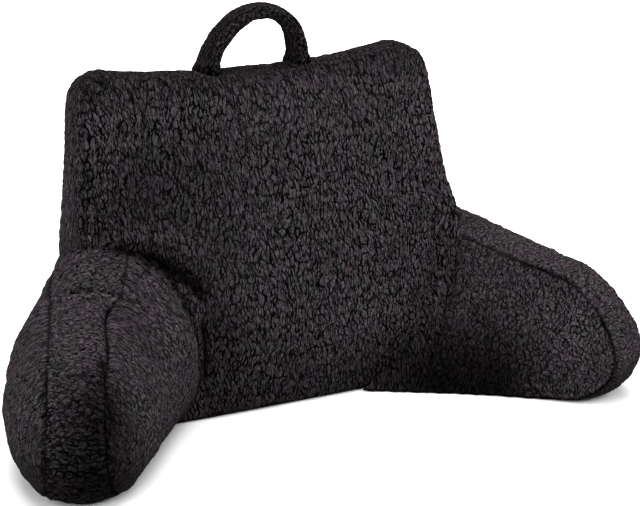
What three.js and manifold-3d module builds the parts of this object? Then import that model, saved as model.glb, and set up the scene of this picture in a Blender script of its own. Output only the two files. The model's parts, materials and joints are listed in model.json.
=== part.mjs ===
// Backrest pillow: a leaning, boxed back cushion with two splayed arm bolsters
// sewn to its sides and a padded carrying loop on its top edge.
// Millimetres, +Z up. The seat side faces -Y. The base lies flat on z = 0.

import * as THREE from "three";
import { mergeVertices } from "three/addons/utils/BufferGeometryUtils.js";
import Module from "manifold-3d";

const wasm = await Module();
wasm.setup();

// ---------------------------------------------------------------- sizes ----

const GAP = 0.4; // clear space left between two sewn bodies

const BACK = {
  height: 427, // seam outline, base to top corners
  topSag: 17, // the top edge dips this much at mid-width
  topCorner: 31, // seam radius at the two top corners
  baseCorner: 12, // seam radius at the two base corners
  leanBack: 100, // the front panel's top seam lies this far behind its base seam
  boxingTop: 52, // width of the boxing strip along the top
  boxingBase: 134, // width of the boxing strip along the base
  boxingBulge: 7, // the strip stands this proud of the seams
  frontCrown: 38, // front panel stands this proud of its seam plane
  rearCrown: 30,
};

// At fractions of the back's height: the half-width of its seam outline, and
// the parts of it over which the front panel's crown spreads to either side.
// The left arm presses the panel in, so the crown is narrower beside it.
const BACK_WIDTH = [
  { at: 0.0, half: 263, leftCrown: 0.74, rightCrown: 0.96 },
  { at: 0.25, half: 256, leftCrown: 0.76, rightCrown: 0.96 },
  { at: 0.5, half: 258, leftCrown: 0.84, rightCrown: 0.98 },
  { at: 0.75, half: 245, leftCrown: 0.99, rightCrown: 1.0 },
  { at: 1.0, half: 239, leftCrown: 1.0, rightCrown: 1.0 },
];

// An arm's seam outline, seen from the side: s runs forward from the root.
const ARM = {
  buried: 68, // length of the root end that tucks in beside the back, at its top
  rootHeight: 221,
  tipHeight: 162,
  tipRadius: 100, // top front round
  toeRadius: 73, // lower front round
  toeHeight: 61, // where the two front rounds meet
  topSquareness: 1.65, // 2 is a plain ellipse, less is more pointed
  topBow: -3, // the top line dips this much between root and tip
  boxingBulge: 10.5,
  heelSlant: 20, // the root end is this much shorter at the base
  heelTuck: 3, // the outer panel closes on the back's side this far before the end
  heelRound: 140, // and is at its full width this far in front of that
  shoulder: 0.58, // part of the outer crown at the root
  shoulderRun: 115, // it is all there this far along
};

// The two arms are stuffed unevenly: rows hold what differs and what doesn't.
const ARMS = [
  {
    name: "arm_left",
    side: -1,
    rootX: 250, // arm axis at the root, out from the middle
    rootY: 74,
    splay: 22.4, // degrees outward
    length: 287,
    halfRoot: 40.6, // half the top strip's width at the root
    halfTip: 29.7, // at the tip, top
    halfToe: 39.5, // at the tip, base
    fillet: 70, // extra stuffing against the back, inner side
    filletTop: 224, // it is all gone at this height
    filletAlong: 1.62,
    filletUp: 0.6,
    innerCrown: 52,
    outerCrown: 55.6,
    crownAlong: 0.458, // where the crown peaks, part of the length
    crownUp: 0.458, // and of the height
  },
  {
    name: "arm_right",
    side: 1,
    rootX: 254,
    rootY: 74,
    splay: 27.2,
    length: 290,
    halfRoot: 40.6,
    halfTip: 29.7,
    halfToe: 39.5,
    fillet: 142,
    filletTop: 162,
    filletAlong: 1.42,
    filletUp: 1.39,
    innerCrown: 6,
    outerCrown: 55.6,
    crownAlong: 0.383,
    crownUp: 0.37,
  },
];
const CROWN_REACH = 311; // an arm's crown runs on this far behind the root
const BACK_SIDE_X = 256; // an arm's heel meets the back's side here

const HANDLE = {
  width: 47, // along Y
  thickness: 18.5,
  footSpan: 130, // between the middles of the two feet
  centreX: 4,
  footY: 139, // beside the rear seam of the top boxing strip
  footZ: 398, // below the back's surface, so that each foot is cut to it
  apexZ: 488, // middle of the strap at the top of the loop
  apexLeanX: 8, // the loop slumps a little to one side
  apexLeanY: -15, // and forward
  footSpread: 1.19, // the strap is this much fuller at its feet
  fullness: 2.1, // 2 is an ellipse
};

// Fineness of the faceted cloth.
const MESH = {
  backAround: 96,
  armAround: 72,
  faceRings: 5,
  boxingRings: 4,
  handleSteps: 26,
  handleAround: 12,
};

// ------------------------------------------------------------- functions ----

const clamp = (v, a = 0, b = 1) => Math.min(b, Math.max(a, v));
const mix = (a, b, t) => a + (b - a) * t;

// Smooth curve through the rows of a table, with level ends past them.
function along(rows, at, value, x) {
  const n = rows.length;
  const d = [];
  for (let i = 0; i < n - 1; i++)
    d.push((rows[i + 1][value] - rows[i][value]) / (rows[i + 1][at] - rows[i][at]));
  const slope = rows.map((_, i) => {
    if (i === 0) return d[0];
    if (i === n - 1) return d[n - 2];
    const before = rows[i][at] - rows[i - 1][at];
    const after = rows[i + 1][at] - rows[i][at];
    return (d[i] * before + d[i - 1] * after) / (before + after);
  });
  const q = clamp(x, rows[0][at], rows[n - 1][at]);
  let i = 0;
  while (i < n - 2 && q > rows[i + 1][at]) i++;
  const h = rows[i + 1][at] - rows[i][at];
  const t = (q - rows[i][at]) / h;
  return (
    (2 * t ** 3 - 3 * t ** 2 + 1) * rows[i][value] +
    (t ** 3 - 2 * t ** 2 + t) * h * slope[i] +
    (-2 * t ** 3 + 3 * t ** 2) * rows[i + 1][value] +
    (t ** 3 - t ** 2) * h * slope[i + 1]
  );
}

// A closed outline re-cut into n even steps.
function evenSteps(points, n) {
  const ring = [...points, points[0]];
  const run = [0];
  for (let i = 1; i < ring.length; i++)
    run.push(run[i - 1] + Math.hypot(ring[i][0] - ring[i - 1][0], ring[i][1] - ring[i - 1][1]));
  const out = [];
  let k = 0;
  for (let i = 0; i < n; i++) {
    const want = (run[run.length - 1] * i) / n;
    while (k < run.length - 2 && run[k + 1] < want) k++;
    const t = (want - run[k]) / (run[k + 1] - run[k] || 1);
    out.push([mix(ring[k][0], ring[k + 1][0], t), mix(ring[k][1], ring[k + 1][1], t)]);
  }
  return out;
}

// Crown of a stuffed panel: 1 at its middle, 0 at its seam.
const crown = (r) => (1 - clamp(r) ** 2.2) ** 0.72;
// The same across one direction of a squarer panel.
const panelCrown = (r) => (1 - clamp(r) ** 2.4) ** 0.62;

const steps = (from, to, count, last = true) =>
  Array.from({ length: count }, (_, i) => mix(from, to, i / (last ? count - 1 : count)));

// Seam outline of the back, in its own (x, z).
function backOutline() {
  const { height: H, topCorner: rc, baseCorner: rb, topSag } = BACK;
  const half = (z) => along(BACK_WIDTH, "at", "half", z / H);
  const right = [];
  for (const x of steps(0, half(0) - rb, 8, false)) right.push([x, 0]);
  for (const q of steps(0, Math.PI / 2, 6)) {
    const z = rb * (1 - Math.cos(q));
    right.push([half(z) - rb + rb * Math.sin(q), z]);
  }
  for (const z of steps(rb, H - rc, 14).slice(1)) right.push([half(z), z]);
  for (const q of steps(0, Math.PI / 2, 7).slice(1)) {
    const z = H - rc + rc * Math.sin(q);
    right.push([half(z) - rc + rc * Math.cos(q), z]);
  }
  const flat = half(H) - rc;
  for (const x of steps(flat, 0, 8).slice(1)) right.push([x, H - topSag * (1 - (x / flat) ** 2)]);
  const left = right.slice(1, -1).reverse().map(([x, z]) => [-x, z]);
  return evenSteps([...right, ...left], MESH.backAround);
}

// Seam outline of an arm, in its own (s, z), from s = start.
function armOutline(arm, start, count) {
  const { rootHeight, tipHeight, tipRadius: R, toeRadius: Rb, toeHeight: z0 } = ARM;
  const L = arm.length;
  const power = 2 / ARM.topSquareness;
  const ring = [];
  for (const s of steps(start + ARM.heelSlant, L - Rb, 8, false)) ring.push([s, 0]);
  for (const q of steps(0, Math.PI / 2, 8))
    ring.push([L - Rb + Rb * Math.sin(q), z0 * (1 - Math.cos(q))]);
  for (const q of steps(0, Math.PI / 2, 10).slice(1))
    ring.push([
      L - R + R * Math.max(Math.cos(q), 0) ** power,
      z0 + (tipHeight - z0) * Math.sin(q) ** power,
    ]);
  for (const s of steps(L - R, start, 10).slice(1)) {
    const t = (s - (L - R)) / (-ARM.buried - (L - R)); // 1 at the buried end
    const dip = ARM.topBow * Math.sin(Math.PI * Math.min(t, 1));
    ring.push([s, mix(tipHeight, rootHeight, t) + dip]);
  }
  return evenSteps(ring, count);
}

// How far out a point lies between an outline's centre (0) and its seam (1).
function reach(outline, centre, s, z) {
  const a = Math.atan2(z - centre[1], s - centre[0]);
  const seam = outline
    .map(([u, v]) => ({
      angle: Math.atan2(v - centre[1], u - centre[0]),
      r: Math.hypot(u - centre[0], v - centre[1]),
    }))
    .sort((p, q) => p.angle - q.angle);
  const first = seam[0];
  const last = seam[seam.length - 1];
  const ring = [
    { angle: last.angle - 2 * Math.PI, r: last.r },
    ...seam,
    { angle: first.angle + 2 * Math.PI, r: first.r },
  ];
  let i = 0;
  while (i < ring.length - 2 && ring[i + 1].angle < a) i++;
  const t = (a - ring[i].angle) / (ring[i + 1].angle - ring[i].angle || 1);
  return Math.hypot(s - centre[0], z - centre[1]) / mix(ring[i].r, ring[i + 1].r, clamp(t));
}

// Rings of a boxed cushion: one panel from its middle out to its seam, the
// boxing strip, then the other panel back in. side goes from -1 to 1.
function boxedRings(outline, centre, bulge) {
  const n = outline.length;
  const scaled = (k) =>
    outline.map(([x, z]) => [centre[0] + (x - centre[0]) * k, centre[1] + (z - centre[1]) * k]);
  const rings = [];
  const F = MESH.faceRings;
  for (let i = 1; i <= F; i++) {
    const r = Math.sin(((i / F) * Math.PI) / 2);
    rings.push({ points: scaled(r), side: -1, crown: crown(r) });
  }
  const G = MESH.boxingRings;
  for (let j = 1; j < G; j++) {
    const t = j / G;
    const points = outline.map(([x, z], i) => {
      const [ax, az] = outline[(i + n - 1) % n];
      const [bx, bz] = outline[(i + 1) % n];
      const len = Math.hypot(bx - ax, bz - az);
      const out = bulge * Math.sin(Math.PI * t);
      return [x + (out * (bz - az)) / len, z - (out * (bx - ax)) / len];
    });
    rings.push({ points, side: -1 + 2 * t, crown: 0 });
  }
  for (let i = F; i >= 1; i--) {
    const r = Math.sin(((i / F) * Math.PI) / 2);
    rings.push({ points: scaled(r), side: 1, crown: crown(r) });
  }
  return rings;
}

// Closed mesh from rings of points and a middle point at each end.
function closedGeometry(rings, firstPole, lastPole) {
  const n = rings[0].length;
  const position = [...firstPole];
  for (const ring of rings) for (const p of ring) position.push(...p);
  position.push(...lastPole);
  const end = position.length / 3 - 1;
  const index = [];
  const at = (r, i) => 1 + r * n + (i % n);
  for (let i = 0; i < n; i++) index.push(0, at(0, i), at(0, i + 1));
  for (let r = 0; r + 1 < rings.length; r++)
    for (let i = 0; i < n; i++)
      index.push(at(r, i), at(r + 1, i), at(r + 1, i + 1), at(r, i), at(r + 1, i + 1), at(r, i + 1));
  for (let i = 0; i < n; i++) index.push(end, at(rings.length - 1, i + 1), at(rings.length - 1, i));
  const geometry = new THREE.BufferGeometry();
  geometry.setAttribute("position", new THREE.Float32BufferAttribute(position, 3));
  geometry.setIndex(index);
  return geometry;
}

// A geometry as a solid, turned right side out if its rings run the other way.
function solid(geometry) {
  const bare = new THREE.BufferGeometry();
  bare.setAttribute("position", geometry.getAttribute("position"));
  bare.setIndex(geometry.index);
  const merged = mergeVertices(bare, 1e-3);
  const vertProperties = new Float32Array(merged.getAttribute("position").array);
  const make = (triVerts) =>
    new wasm.Manifold(new wasm.Mesh({ numProp: 3, vertProperties, triVerts }));
  const triVerts = new Uint32Array(merged.index.array);
  const made = make(triVerts);
  if (made.volume() > 0) return made;
  for (let i = 0; i < triVerts.length; i += 3)
    [triVerts[i + 1], triVerts[i + 2]] = [triVerts[i + 2], triVerts[i + 1]];
  return make(triVerts);
}

function geometryOf(made) {
  const mesh = made.getMesh();
  const geometry = new THREE.BufferGeometry();
  const count = mesh.vertProperties.length / mesh.numProp;
  const position = new Float32Array(count * 3);
  for (let i = 0; i < count; i++)
    for (let k = 0; k < 3; k++) position[3 * i + k] = mesh.vertProperties[i * mesh.numProp + k];
  geometry.setAttribute("position", new THREE.BufferAttribute(position, 3));
  geometry.setIndex(new THREE.BufferAttribute(new Uint32Array(mesh.triVerts), 1));
  return geometry;
}

// The same closed shape, grown by a small distance along its vertex normals.
function grown(geometry, by) {
  const g = geometry.clone();
  g.computeVertexNormals();
  const p = g.getAttribute("position");
  const normal = g.getAttribute("normal");
  for (let i = 0; i < p.count; i++)
    p.setXYZ(
      i,
      p.getX(i) + by * normal.getX(i),
      p.getY(i) + by * normal.getY(i),
      p.getZ(i) + by * normal.getZ(i),
    );
  return g;
}

// ----------------------------------------------------------------- back ----

function backGeometry() {
  const { height: H, leanBack, boxingTop, boxingBase, frontCrown, rearCrown } = BACK;
  const place = (x, z, side, c) => {
    const up = clamp(z / H);
    const width = mix(boxingBase, boxingTop, up);
    const half = along(BACK_WIDTH, "at", "half", up);
    const spread = along(BACK_WIDTH, "at", x < 0 ? "leftCrown" : "rightCrown", up);
    const upright = c > 0 ? panelCrown(Math.abs(2 * up - 1)) : 0;
    const front = -frontCrown * upright * panelCrown(Math.abs(x) / (half * spread));
    const rear = rearCrown * upright * panelCrown(Math.abs(x) / half);
    const proud = side === -1 ? front : side === 1 ? rear : 0;
    return [x, leanBack * up + (width * (side + 1)) / 2 + proud, Math.max(z, 0)];
  };
  const centre = [0, H * 0.45];
  const rings = boxedRings(backOutline(), centre, BACK.boxingBulge).map((ring) =>
    ring.points.map(([x, z]) => place(x, z, ring.side, ring.crown)),
  );
  return closedGeometry(rings, place(...centre, -1, 1), place(...centre, 1, 1));
}

// ----------------------------------------------------------------- arms ----

function armGeometry(arm) {
  const L = arm.length;
  const splay = THREE.MathUtils.degToRad(arm.splay);
  const root = [arm.side * arm.rootX, arm.rootY];
  const forward = [arm.side * Math.sin(splay), -Math.cos(splay)];
  const inward = [-arm.side * Math.cos(splay), -Math.sin(splay)];
  const crownSeam = armOutline(arm, -CROWN_REACH, 80);
  const crownPeak = [L * arm.crownAlong, ARM.tipHeight * arm.crownUp];

  const place = (s, z, side) => {
    const u = clamp(s / L);
    const v = clamp(z / ARM.tipHeight);
    const half = (1 - u) * arm.halfRoot + u * mix(arm.halfToe, arm.halfTip, v);
    const high = clamp(z / arm.filletTop);
    const packed = arm.fillet * (1 - u) ** arm.filletAlong * (1 - high) ** arm.filletUp;
    const c = crown(reach(crownSeam, crownPeak, s, z));
    const inner = half + packed + c * arm.innerCrown;
    // The outer panel rounds off at its heel to meet the back's side.
    const flush = (BACK_SIDE_X - arm.rootX - s * Math.sin(splay)) / Math.cos(splay);
    const end = -ARM.buried + ARM.heelTuck + ARM.heelSlant * (1 - clamp(z / ARM.rootHeight));
    const heel = clamp((s - end) / ARM.heelRound);
    const run = clamp(s / ARM.shoulderRun);
    const swell = mix(ARM.shoulder, 1, run * run * (3 - 2 * run));
    const outer = mix(flush, half + c * arm.outerCrown * swell, Math.sqrt(1 - (1 - heel) ** 2));
    const w = (1 - side) / 2; // 1 on the inner panel, 0 on the outer
    const l = w * inner - (1 - w) * outer;
    return [
      root[0] + s * forward[0] + l * inward[0],
      root[1] + s * forward[1] + l * inward[1],
      Math.max(z, 0),
    ];
  };

  const centre = [(L - ARM.buried) / 2, ARM.tipHeight / 2];
  const outline = armOutline(arm, -ARM.buried, MESH.armAround);
  const rings = boxedRings(outline, centre, ARM.boxingBulge).map((ring) =>
    ring.points.map(([s, z]) => place(s, z, ring.side)),
  );
  return closedGeometry(rings, place(...centre, -1), place(...centre, 1));
}

// --------------------------------------------------------------- handle ----

// A stuffed strap of oval section, swept over an arch from foot to foot.
function handleGeometry() {
  const h = HANDLE;
  const middle = (t) => {
    const a = Math.PI * (1 - t);
    const power = 2 / h.fullness;
    const up = Math.sin(a) ** power;
    const out = Math.sign(Math.cos(a)) * Math.abs(Math.cos(a)) ** power;
    return new THREE.Vector3(
      h.centreX + (h.footSpan / 2) * out + h.apexLeanX * up,
      h.footY + h.apexLeanY * up,
      mix(h.footZ, h.apexZ, up),
    );
  };
  const rings = [];
  for (let i = 0; i <= MESH.handleSteps; i++) {
    const t = i / MESH.handleSteps;
    const here = middle(t);
    const ahead = middle(Math.min(t + 1e-3, 1)).sub(middle(Math.max(t - 1e-3, 0))).normalize();
    const wide = new THREE.Vector3(0, 1, 0).addScaledVector(ahead, -ahead.y).normalize();
    const thick = new THREE.Vector3().crossVectors(ahead, wide);
    const foot = mix(1, h.footSpread, Math.abs(2 * t - 1) ** 3);
    const ring = [];
    for (let j = 0; j < MESH.handleAround; j++) {
      const a = (2 * Math.PI * j) / MESH.handleAround;
      const p = here
        .clone()
        .addScaledVector(wide, ((h.width * foot) / 2) * Math.cos(a))
        .addScaledVector(thick, ((h.thickness * foot) / 2) * Math.sin(a));
      ring.push(p.toArray());
    }
    rings.push(ring);
  }
  return closedGeometry(rings, middle(0).toArray(), middle(1).toArray());
}

// ------------------------------------------------------------- assembly ----

const fleece = () =>
  new THREE.MeshStandardMaterial({ color: 0x2b282a, roughness: 0.95, metalness: 0 });

const pieces = new Map();
const back = backGeometry();
const backSolid = solid(back);
const backClear = solid(grown(geometryOf(backSolid), GAP));
pieces.set("backrest", backSolid);

for (const arm of ARMS) pieces.set(arm.name, solid(armGeometry(arm)).subtract(backClear));
pieces.set("handle", solid(handleGeometry()).subtract(backClear));

// A cut can leave a loose sliver on the far side: the piece is the largest body.
for (const [name, made] of pieces) {
  const bodies = made.decompose().sort((p, q) => q.volume() - p.volume());
  pieces.set(name, bodies[0]);
}

const part = new THREE.Group();
for (const [name, made] of pieces) {
  const mesh = new THREE.Mesh(geometryOf(made), fleece());
  mesh.name = name;
  part.add(mesh);
}

// The origin is the middle of the bounding box, on the base.
const bounds = new THREE.Box3().setFromObject(part);
part.position.set(
  -(bounds.min.x + bounds.max.x) / 2,
  -(bounds.min.y + bounds.max.y) / 2,
  -bounds.min.z,
);

export default part;
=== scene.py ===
# Backrest pillow in charcoal sherpa fleece: the stuffed bodies are swollen by a
# cloth simulation between their sewn seams, folded and puckered where the real
# one is, and covered with a clumped, curled pile.
import json
import math

import bmesh
import bpy
import numpy as np
from mathutils import Matrix, Vector
from mathutils.bvhtree import BVHTree
from mathutils.kdtree import KDTree

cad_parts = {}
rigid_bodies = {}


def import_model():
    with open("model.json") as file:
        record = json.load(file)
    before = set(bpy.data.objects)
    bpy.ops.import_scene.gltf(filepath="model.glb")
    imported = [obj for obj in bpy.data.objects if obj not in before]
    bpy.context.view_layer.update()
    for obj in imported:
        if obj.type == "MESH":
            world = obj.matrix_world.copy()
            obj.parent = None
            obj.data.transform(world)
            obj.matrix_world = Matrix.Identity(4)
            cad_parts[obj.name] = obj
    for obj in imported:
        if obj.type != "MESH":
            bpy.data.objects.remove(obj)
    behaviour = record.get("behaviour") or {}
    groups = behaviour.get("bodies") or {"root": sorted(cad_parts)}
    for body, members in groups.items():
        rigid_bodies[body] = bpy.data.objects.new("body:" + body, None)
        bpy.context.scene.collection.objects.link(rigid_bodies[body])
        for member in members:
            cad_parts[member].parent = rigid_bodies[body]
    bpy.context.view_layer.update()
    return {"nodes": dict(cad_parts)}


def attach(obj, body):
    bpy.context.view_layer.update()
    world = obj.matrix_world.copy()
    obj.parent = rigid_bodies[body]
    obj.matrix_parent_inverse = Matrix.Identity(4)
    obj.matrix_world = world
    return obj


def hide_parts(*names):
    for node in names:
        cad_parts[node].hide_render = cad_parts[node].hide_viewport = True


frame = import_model()
NODES = frame["nodes"]
MM = 0.001

# ------------------------------------------------------------------ camera ----
CAM = np.array([-933.1, -1914.8, 905.2]) * MM
RIGHT = np.array([0.89563, -0.44480, 0.0])
UP = np.array([0.13882, 0.27952, 0.95005])
BACK = np.array([-0.42258, -0.85090, 0.31209])
F_PX = 1795.8  # focal length in pixels of the 640 x 506 picture
PIC_W, PIC_H = 640, 506

cam_data = bpy.data.cameras.new("camera")
cam = bpy.data.objects.new("camera", cam_data)
bpy.context.scene.collection.objects.link(cam)
cam.matrix_world = Matrix(
    [
        [RIGHT[0], UP[0], BACK[0], CAM[0]],
        [RIGHT[1], UP[1], BACK[1], CAM[1]],
        [RIGHT[2], UP[2], BACK[2], CAM[2]],
        [0, 0, 0, 1],
    ]
)
cam_data.sensor_width = 36
cam_data.lens = F_PX * 36 / PIC_W
cam_data.clip_start, cam_data.clip_end = 0.1, 60
bpy.context.scene.camera = cam


def ray(px, py):
    d = RIGHT * (px - PIC_W / 2) / F_PX - UP * (py - PIC_H / 2) / F_PX - BACK
    return d / np.linalg.norm(d)


def picture(co):
    """Where points show in the picture, in its pixels."""
    q = co - CAM
    deep = -(q @ BACK)
    return PIC_W / 2 + F_PX * (q @ RIGHT) / deep, PIC_H / 2 - F_PX * (q @ UP) / deep


# --------------------------------------------------- seam lines, in mm ----
# The sewn outlines of the pattern pieces, in the part's frame.
SHIFT = np.array([-10.0, 15.0, 0.0])

BACK_PIECE = dict(height=427, sag=17, top_corner=31, base_corner=12, lean=100, top=52, base=134)
BACK_WIDTH = dict(at=[0, 0.25, 0.5, 0.75, 1.0], half=[263, 256, 258, 245, 239])
ARM_PIECE = dict(
    buried=68, root=221, tip=162, r_tip=100, r_toe=73, toe=61, square=1.65, bow=-3, slant=20
)
ARMS = {
    "arm_left": dict(
        side=-1, x=250, y=74, splay=22.4, length=287, root=40.6, tip=29.7, toe=39.5,
        fillet=70, along=1.62, up=0.6, top=224,
    ),
    "arm_right": dict(
        side=1, x=254, y=74, splay=27.2, length=290, root=40.6, tip=29.7, toe=39.5,
        fillet=142, along=1.42, up=1.39, top=162,
    ),
}


def step01(x, a, b):
    t = np.clip((x - a) / (b - a), 0, 1)
    return t * t * (3 - 2 * t)


def smooth_table(xs, ys, x):
    xs, ys = np.asarray(xs, float), np.asarray(ys, float)
    d, h = np.diff(ys) / np.diff(xs), np.diff(xs)
    m = np.r_[d[0], (d[1:] * h[:-1] + d[:-1] * h[1:]) / (xs[2:] - xs[:-2]), d[-1]]
    q = np.clip(x, xs[0], xs[-1])
    i = np.clip(np.searchsorted(xs, q, side="right") - 1, 0, len(xs) - 2)
    w = xs[i + 1] - xs[i]
    t = (q - xs[i]) / w
    return (
        (2 * t**3 - 3 * t**2 + 1) * ys[i]
        + (t**3 - 2 * t**2 + t) * w * m[i]
        + (-2 * t**3 + 3 * t**2) * ys[i + 1]
        + (t**3 - t**2) * w * m[i + 1]
    )


def dense_line(points, step=1.0, closed=False):
    """A polyline re-cut into even short steps."""
    p = np.asarray(points, float)
    if closed:
        p = np.vstack([p, p[:1]])
    run = np.r_[0, np.cumsum(np.linalg.norm(np.diff(p, axis=0), axis=1))]
    n = max(2, int(run[-1] / step))
    want = np.linspace(0, run[-1], n, endpoint=not closed)
    return np.stack([np.interp(want, run, p[:, k]) for k in range(p.shape[1])], 1)


def back_outline():
    b = BACK_PIECE
    H, rc, rb = b["height"], b["top_corner"], b["base_corner"]
    half = lambda z: smooth_table(np.array(BACK_WIDTH["at"]) * H, BACK_WIDTH["half"], z)
    pts = [(0, 0), (half(0) - rb, 0)]
    for q in np.linspace(0, math.pi / 2, 7)[1:]:
        z = rb * (1 - math.cos(q))
        pts.append((half(z) - rb + rb * math.sin(q), z))
    pts += [(half(z), z) for z in np.linspace(rb, H - rc, 30)[1:]]
    for q in np.linspace(0, math.pi / 2, 9)[1:]:
        z = H - rc + rc * math.sin(q)
        pts.append((half(z) - rc + rc * math.cos(q), z))
    flat = half(H) - rc
    pts += [(x, H - b["sag"] * (1 - (x / flat) ** 2)) for x in np.linspace(flat, 0, 20)[1:]]
    right = np.array([(float(x), float(z)) for x, z in pts])
    left = right[1:-1][::-1] * [-1, 1]
    return dense_line(np.vstack([right, left]), 2.0, closed=True)


def back_seam(rear):
    b = BACK_PIECE
    o = back_outline()
    up = np.clip(o[:, 1] / b["height"], 0, 1)
    y = b["lean"] * up + (b["base"] + (b["top"] - b["base"]) * up if rear else 0)
    return np.c_[o[:, 0], y, o[:, 1]] + SHIFT


def arm_axes(arm):
    a = ARMS[arm]
    q = math.radians(a["splay"])
    root = np.array([a["side"] * a["x"], a["y"], 0]) + SHIFT
    forward = np.array([a["side"] * math.sin(q), -math.cos(q), 0])
    inward = np.array([-a["side"] * math.cos(q), -math.sin(q), 0])
    return root, forward, inward


def arm_outline(arm):
    a, g = ARMS[arm], ARM_PIECE
    L, R, Rb, z0 = a["length"], g["r_tip"], g["r_toe"], g["toe"]
    start, power = -g["buried"], 2 / g["square"]
    pts = [(start + g["slant"], 0), (L - Rb, 0)]
    for q in np.linspace(0, math.pi / 2, 12)[1:]:
        pts.append((L - Rb + Rb * math.sin(q), z0 * (1 - math.cos(q))))
    for q in np.linspace(0, math.pi / 2, 16)[1:]:
        pts.append(
            (
                L - R + R * max(math.cos(q), 0) ** power,
                z0 + (g["tip"] - z0) * math.sin(q) ** power,
            )
        )
    for t in np.linspace(0, 1, 20)[1:]:
        s = L - R + (start - (L - R)) * t
        pts.append((s, g["tip"] + (g["root"] - g["tip"]) * t + g["bow"] * math.sin(math.pi * t)))
    return dense_line(pts, 2.0)


def arm_edges(arm, s, z):
    """How far inward and outward the arm's two seams lie from its middle plane."""
    a, g = ARMS[arm], ARM_PIECE
    u, v = np.clip(s / a["length"], 0, 1), np.clip(z / g["tip"], 0, 1)
    half = (1 - u) * a["root"] + u * (a["toe"] + (a["tip"] - a["toe"]) * v)
    web = a["fillet"] * (1 - u) ** a["along"] * (1 - np.clip(z / a["top"], 0, 1)) ** a["up"]
    if arm == "arm_left":  # the cross seam draws the inner seam over
        web = web - 15 * np.exp(-(((s - 124) / 58) ** 2)) * v
        web = web - 4 * step01(s, 84, 94) * (1 - step01(s, 108, 190)) * v
    return half + web, half


def arm_seam(arm, inner):
    root, forward, inward = arm_axes(arm)
    o = arm_outline(arm)
    s, z = o[:, 0], o[:, 1]
    to_inner, to_outer = arm_edges(arm, s, z)
    l = to_inner if inner else -to_outer
    return root + s[:, None] * forward + l[:, None] * inward + z[:, None] * [0, 0, 1]


# ------------------------------------------------------------ mesh tools ----
def points_of(me):
    co = np.empty(len(me.vertices) * 3, np.float32)
    me.vertices.foreach_get("co", co)
    return co.reshape(-1, 3).astype(float)


def set_points(me, co):
    me.vertices.foreach_set("co", np.asarray(co, np.float32).ravel())
    me.update()


def normals_of(me):
    n = np.empty(len(me.vertices) * 3, np.float32)
    me.vertices.foreach_get("normal", n)
    return n.reshape(-1, 3).astype(float)


def edges_of(me):
    e = np.empty(len(me.edges) * 2, np.int32)
    me.edges.foreach_get("vertices", e)
    return e.reshape(-1, 2)


def relax(me, rounds, factor=0.5, keep=None):
    """Even out the mesh: each point moves towards the mean of its neighbours."""
    co, e = points_of(me), edges_of(me)
    count = np.bincount(e.ravel(), minlength=len(co)).astype(float)[:, None]
    for i in range(rounds):
        f = factor if i % 2 == 0 else -factor * 1.03  # pushes back out, so nothing shrinks
        total = np.zeros_like(co)
        for k in range(3):
            total[:, k] = np.bincount(e[:, 0], co[e[:, 1], k], len(co)) + np.bincount(
                e[:, 1], co[e[:, 0], k], len(co)
            )
        move = f * (total / count - co)
        if keep is not None:
            move *= (1 - keep)[:, None]
        co = co + move
    set_points(me, co)


def field_smooth(me, values, rounds):
    e = edges_of(me)
    count = np.bincount(e.ravel(), minlength=len(values)).astype(float)
    for _ in range(rounds):
        total = np.bincount(e[:, 0], values[e[:, 1]], len(values)) + np.bincount(
            e[:, 1], values[e[:, 0]], len(values)
        )
        values = 0.5 * values + 0.5 * total / count
    return values


def bake(obj):
    """Applies the object's modifiers to its mesh."""
    dg = bpy.context.evaluated_depsgraph_get()
    me = bpy.data.meshes.new_from_object(
        obj.evaluated_get(dg), preserve_all_data_layers=True, depsgraph=dg
    )
    old = obj.data
    obj.modifiers.clear()
    obj.data = me
    bpy.data.meshes.remove(old)


def remesh(obj, voxel):
    m = obj.modifiers.new("remesh", "REMESH")
    m.mode = "VOXEL"
    m.voxel_size = voxel
    m.use_smooth_shade = True
    bake(obj)


def new_object(name, me):
    obj = bpy.data.objects.new(name, me)
    bpy.context.scene.collection.objects.link(obj)
    return obj


def distance_to(line, co, reach):
    """Distance in metres from each point to a dense polyline in mm, and where along it."""
    line = np.asarray(line) * MM
    tree = KDTree(len(line))
    for i, p in enumerate(line):
        tree.insert(p, i)
    tree.balance()
    d = np.full(len(co), 1.0)
    at = np.zeros(len(co))
    lo, hi = line.min(0) - reach, line.max(0) + reach
    near = np.nonzero(np.all((co > lo) & (co < hi), axis=1))[0]
    for i in near:
        _, k, r = tree.find(co[i])
        d[i] = r
        at[i] = k
    return d, at / max(len(line) - 1, 1)


def tree_of(obj):
    me = obj.data
    me.calc_loop_triangles()
    tri = np.empty(len(me.loop_triangles) * 3, np.int32)
    me.loop_triangles.foreach_get("vertices", tri)
    return BVHTree.FromPolygons(points_of(me).tolist(), tri.reshape(-1, 3).tolist())


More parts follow.
